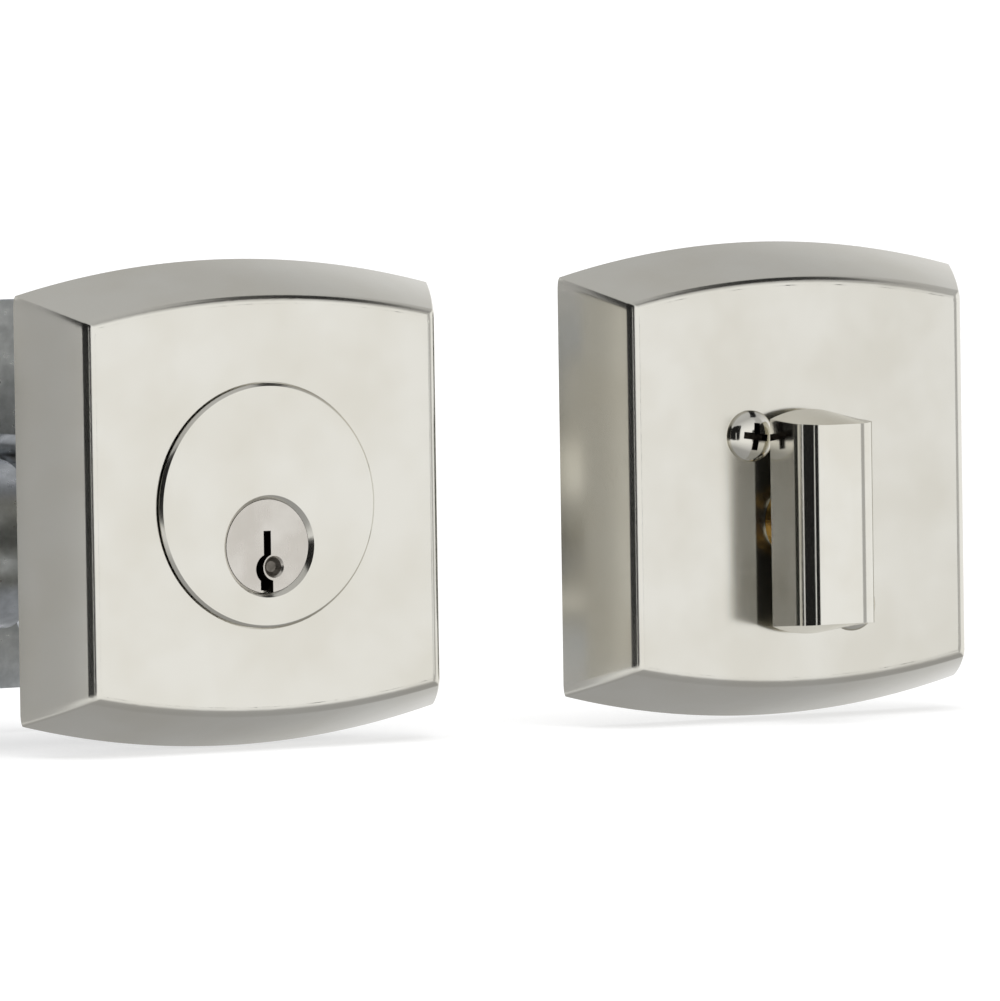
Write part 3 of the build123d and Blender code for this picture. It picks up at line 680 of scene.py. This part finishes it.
def domed(seat, way, radius, height):
    """Outline of a screw head from its seat to the middle of its crown, in mm."""
    outline = [(seat, radius - RIM_CHAMFER), (seat + way * HEAD_RIM, radius)]
    for step in range(1, CROWN_STEPS):
        angle = pi / 2 * step / CROWN_STEPS
        rise = HEAD_RIM + (height - HEAD_RIM) * sin(angle)
        outline.append((seat + way * rise, radius * cos(angle)))
    return outline + [(seat + way * height, CROWN_TIP)]


def screw_pair(name, node, outline, crown, way, places, arm, slot, turn):
    """One screw with a cross recess in its crown, copied to each place, in one piece.
    The cross is arm long and slot wide, in mm, and turned by turn. way is where the head points."""
    first = turned(name, outline)
    for long_way in (0, 1):
        clear_selection()
        bpy.ops.mesh.primitive_cube_add(size=1, location=(0, crown * MM, 0), rotation=(0, turn, 0))
        bar = bpy.context.object
        bar.scale = (
            (slot if long_way else arm) * MM,
            CROSS_HEIGHT * MM,
            (arm if long_way else slot) * MM,
        )
        bpy.ops.object.transform_apply(location=True, rotation=True, scale=True)
        edit(bar)
        pick(lambda p: (p.y - crown * MM) * way < 0)
        resize((CROSS_TAPER, 1, CROSS_TAPER), (0, 0, 0))
        bpy.ops.object.mode_set(mode="OBJECT")
        cut(first, bar)
    recess = [
        side.index
        for side in first.data.polygons
        if hypot(side.center.x, side.center.z) < RECESS_REACH * arm * MM
        and (side.center.y / MM - crown) * way > RECESS_LOWEST
        and (
            abs(side.normal.y) < RECESS_STEEP
            or (side.center.y / MM - crown) * way < RECESS_FLOOR
        )
    ]
    copies = []
    for x, z in places:
        again = first.copy()
        again.data = first.data.copy()
        again.data.materials.clear()
        again.data.materials.append(FINISH_OF_SLOT[slot_of_node[node]])
        # Painted shade: the cross recess's walls and floor take the nearly black finish
        again.data.materials.append(painted_recess_shade)
        for index in recess:
            again.data.polygons[index].material_index = 1
        bpy.context.scene.collection.objects.link(again)
        settle(again, x * MM, 0, z * MM)
        copies.append(again)
    bpy.data.objects.remove(first)
    clear_selection()
    for again in copies:
        again.select_set(True)
    bpy.context.view_layer.objects.active = copies[0]
    bpy.ops.object.join()
    pair = bpy.context.object
    pair.name = name
    bpy.ops.object.shade_smooth_by_angle(angle=SMOOTH_UP_TO)
    stand_for(pair, node, painted_recess_shade)


SCREW_SEAT = -TRIM_DEPTH
SCREW_TIP, SCREW_NECK = -3.0, -9.5
SCREW_CREST, SCREW_ROOT = 1.95, 1.6
screw_pair(
    "trim_screw_pair",
    "trim_screws",
    threaded(SCREW_TIP, SCREW_NECK, SCREW_CREST, SCREW_ROOT)
    + [(SCREW_SEAT, SCREW_CREST)]
    + domed(SCREW_SEAT, way=-1, radius=3.75, height=1.85),
    crown=SCREW_SEAT - 1.8,
    way=-1,
    places=[(INSIDE_X - SCREW_SIDE, SCREW_UP), (INSIDE_X + SCREW_SIDE, -SCREW_UP)],
    arm=4.7,
    slot=1.15,
    turn=radians(8),
)
BOLT_SEAT = 46.25
BOLT_TIP, BOLT_NECK = -3.0, 30.0
BOLT_CREST, BOLT_ROOT = 2.05, 1.7
BOLT_SIDE, BOLT_UP = 19.0, 13.0
screw_pair(
    "through_bolt_pair",
    "through_bolts",
    threaded(BOLT_TIP, BOLT_NECK, BOLT_CREST, BOLT_ROOT)
    + [(BOLT_SEAT, BOLT_CREST)]
    + domed(BOLT_SEAT, way=1, radius=4.1, height=2.25),
    crown=BOLT_SEAT + 2.2,
    way=1,
    places=[(-BOLT_SIDE, BOLT_UP), (BOLT_SIDE, -BOLT_UP)],
    arm=4.0,
    slot=1.0,
    turn=radians(20),
)

# ---------------------------------------------------------------- pieces eased from the CAD
for name, node, width in (
    ("lock_cylinder", "cylinder_housing", 0.1),
    ("key_barrel", "key_plug", 0.08),
    ("bolt_bar", "deadbolt", 0.3),
    ("edge_plate", "latch_faceplate", 0.15),
    ("latch_sleeve", "bolt_tube", 0.12),
    ("backing_plate", "latch_backing_plate", 0.1),
    ("door_plate", "inside_mounting_plate", 0.15),
    ("stem_bushing", "turn_bushing", 0.12),
    ("tail_bar", "tailpiece", 0.15),
    ("crank", "bolt_cam", 0.12),
    ("case_plate_out", "case_side_outer", 0.1),
    ("case_plate_in", "case_side_inner", 0.1),
    ("tail_plate_out", "bolt_tail_outer", 0.1),
    ("tail_plate_in", "bolt_tail_inner", 0.1),
    ("stem_core", "turn_spindle", 0.12),
):
    eased_copy(name, node, width)
for name in ("outside_trim", "inside_trim", "lock_cylinder"):
    bpy.data.objects[name].data.materials[0] = soft_nickel

# Painted shade: the keyway's walls take the nearly black finish and its recessed dished relief the
# dull grey one, for the shade in these recesses
KEYWAY_LEFT, KEYWAY_RIGHT = -2.0, 2.8
KEYWAY_LOW, KEYWAY_HIGH = -7.1, 2.25
KEYWAY_BACK = 10.0
RELIEF_DEPTH = 1.05
BEHIND_FACE = 0.05
# The plug's flat front faces have normals that point out more squarely than this
SQUARE_TO_FRONT = -0.97
barrel = bpy.data.objects["key_barrel"]
barrel.data.materials.append(painted_recess_shade)
barrel.data.materials.append(painted_dish_shade)
plug_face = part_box("key_plug")[0][1] / MM
for side in barrel.data.polygons:
    corners = [barrel.data.vertices[i].co / MM for i in side.vertices]
    nearest = min(c.y for c in corners)
    deepest = max(c.y for c in corners)
    inside = deepest < KEYWAY_BACK and all(
        KEYWAY_LEFT < c.x < KEYWAY_RIGHT and KEYWAY_LOW < c.z < KEYWAY_HIGH for c in corners
    )
    if inside and side.normal.y > SQUARE_TO_FRONT and deepest > plug_face + RELIEF_DEPTH:
        side.material_index = 1
    elif inside and nearest > plug_face + BEHIND_FACE:
        side.material_index = 2


# ---------------------------------------------------------------- studio
# Where the camera stands, in degrees from the front and up, and in metres from the lock's middle
CAMERA_AZIMUTH = -30.03
CAMERA_UP = 3.0
CAMERA_AWAY = 1.612
CAMERA_ROLL = -0.88
LENS_MM = 405.2
SENSOR_MM = 36.0
NEAREST, FARTHEST = 0.05, 200.0
middle = Vector((0.0446, 0.0, 0.0042))


def toward(azimuth, elevation):
    """Unit vector at azimuth degrees from the front towards +X, and elevation degrees up."""
    a, e = radians(azimuth), radians(elevation)
    return Vector((sin(a) * cos(e), -cos(a) * cos(e), sin(e)))


camera_data = bpy.data.cameras.new("camera")
camera = bpy.data.objects.new("camera", camera_data)
bpy.context.scene.collection.objects.link(camera)
camera_data.lens = LENS_MM
camera_data.sensor_width = SENSOR_MM
camera_data.clip_start = NEAREST
camera_data.clip_end = FARTHEST
out = toward(CAMERA_AZIMUTH, CAMERA_UP)
camera.location = middle + out * CAMERA_AWAY
camera.rotation_mode = "QUATERNION"
roll = Quaternion((0, 0, 1), radians(CAMERA_ROLL))
camera.rotation_quaternion = (-out).to_track_quat("-Z", "Y") @ roll
bpy.context.scene.camera = camera
bpy.context.scene.view_settings.view_transform = "Standard"

# A white tent, dimmer well above and below, lights everything evenly. Its glow is given at sines
# of elevation, and its two ends are straight down and straight up.
TENT_GLOW = ((-0.6, 0.41), (-0.21, 1.0), (0.21, 1.0), (0.66, 0.50))
GLOW_BELOW, GLOW_ABOVE = 0.36, 0.55


def grey(glow):
    return (glow, glow, glow, 1)


world = bpy.data.worlds.new("white_tent")
bpy.context.scene.world = world
world.use_nodes = True
tent = world.node_tree
place = add(tent, "ShaderNodeTexCoord")
split = add(tent, "ShaderNodeSeparateXYZ", {"Vector": (place, "Generated")})
height = add(tent, "ShaderNodeMapRange", {"Value": (split, "Z"), "From Min": -1.0, "From Max": 1.0})
shade = add(tent, "ShaderNodeValToRGB", {"Fac": (height, "Result")})
shade.color_ramp.elements[0].color = grey(GLOW_BELOW)
shade.color_ramp.elements[1].color = grey(GLOW_ABOVE)
for sine, glow in TENT_GLOW:
    shade.color_ramp.elements.new((sine + 1) / 2).color = grey(glow)
tent.links.new(shade.outputs["Color"], tent.nodes["Background"].inputs["Color"])


def card(name, azimuth, elevation, width, height, away, glow):
    """A flat card of this glow that only reflections see, facing the lock. Its place and its
    sizes are in degrees seen from the lock's middle, and it stands away metres from there."""
    clear_selection()
    bpy.ops.mesh.primitive_plane_add(size=1)
    board = bpy.context.object
    board.name = name
    board.scale = (
        2 * away * tan(radians(width / 2)),
        2 * away * tan(radians(height / 2)),
        1,
    )
    way = toward(azimuth, elevation)
    board.rotation_mode = "QUATERNION"
    board.rotation_quaternion = way.to_track_quat("Z", "Y")
    board.location = middle + way * away
    finish = bpy.data.materials.new(name)
    finish.use_nodes = True
    tree = finish.node_tree
    tree.nodes.remove(tree.nodes["Principled BSDF"])
    lamp = add(tree, "ShaderNodeEmission", {"Color": grey(glow), "Strength": 1.0})
    tree.links.new(lamp.outputs["Emission"], tree.nodes["Material Output"].inputs["Surface"])
    board.data.materials.append(finish)
    board.visible_camera = False
    board.visible_diffuse = False
    board.visible_shadow = False
    return board


CARD_UP = 11.5
BLACK = 0.012
STRIP_TO_RIGHT = 0.7725
STRIP_WIDTH = 0.495

# Round the lens and to its left: the rounds between the left bevels and the faces, and the turn's
# left front edge, mirror it as thin black lines and one broad stripe
card("black_drape", -52, CARD_UP, 80, 47, 1.45, BLACK)
# Further round to the left: they grey the left bevels and the turn's rounded left edge
card("left_flag_near", -101.5, CARD_UP, 17, 70, 1.5, 0.42)
card("left_flag_far", -121, CARD_UP, 18, 70, 1.5, 0.63)
# Right of the lens: it greys the edges that turn away to the right
card("right_flag", 47, CARD_UP, 19, 70, 1.5, 0.48)
# A slit in front of the drape where the lens looks through, for what faces the lens squarely
card("lens_window", -31.3, -3.0, 3.0, 26, 1.40, 1.0)
# Overhead and to the right: the top rounds of the faces mirror it as thin dark lines
strip = card("overhead_strip", 0, 70, 12, 44, 1.3, BLACK)
strip.location.x += STRIP_TO_RIGHT
strip.scale.x = STRIP_WIDTH

# Plain pale floor, a hair below the lock
FLOOR_SIZE = 80
FLOOR_GAP = 0.2
FLOOR_GLOW = 0.62
MOTTLE_MM = 25.0
clear_selection()
floor_z = cad_low[2] - FLOOR_GAP * MM
bpy.ops.mesh.primitive_plane_add(size=FLOOR_SIZE, location=(0, 0, floor_z))
ground = bpy.context.object
ground.name = "floor"
# Matt white board has no shine, and is mottled by a hair so that it isn't dead flat. Its own glow
# keeps it white.
board_white = bpy.data.materials.new("matt_white_board")
board_white.use_nodes = True
tree = board_white.node_tree
board_shader = tree.nodes["Principled BSDF"]
board_shader.inputs["Roughness"].default_value = 1.0
board_shader.inputs["Specular IOR Level"].default_value = 0.0
board_shader.inputs["Emission Color"].default_value = grey(1)
board_shader.inputs["Emission Strength"].default_value = FLOOR_GLOW
place = add(tree, "ShaderNodeTexCoord")
mottle = add(
    tree, "ShaderNodeTexNoise", {"Vector": (place, "Object"), "Scale": 1 / (MOTTLE_MM * MM)}
)
tint = add(tree, "ShaderNodeValToRGB", {"Fac": (mottle, "Fac")})
tint.color_ramp.elements[0].color = linear("B4B4B4")
tint.color_ramp.elements[1].color = linear("B8B8B8")
tree.links.new(tint.outputs["Color"], board_shader.inputs["Base Color"])
ground.data.materials.append(board_white)
ground.visible_glossy = False

# A broad, soft sun from nearly overhead lays the faint shadow under the lock
SUN_STRENGTH = 1.6
SUN_SPREAD = radians(60)
SUN_AZIMUTH, SUN_UP = -10, 70
sun_data = bpy.data.lights.new("soft_sun", "SUN")
sun_data.energy = SUN_STRENGTH
sun_data.angle = SUN_SPREAD
sun = bpy.data.objects.new("soft_sun", sun_data)
bpy.context.scene.collection.objects.link(sun)
sun.rotation_mode = "QUATERNION"
sun.rotation_quaternion = toward(SUN_AZIMUTH, SUN_UP).to_track_quat("Z", "Y")
sun.visible_glossy = False
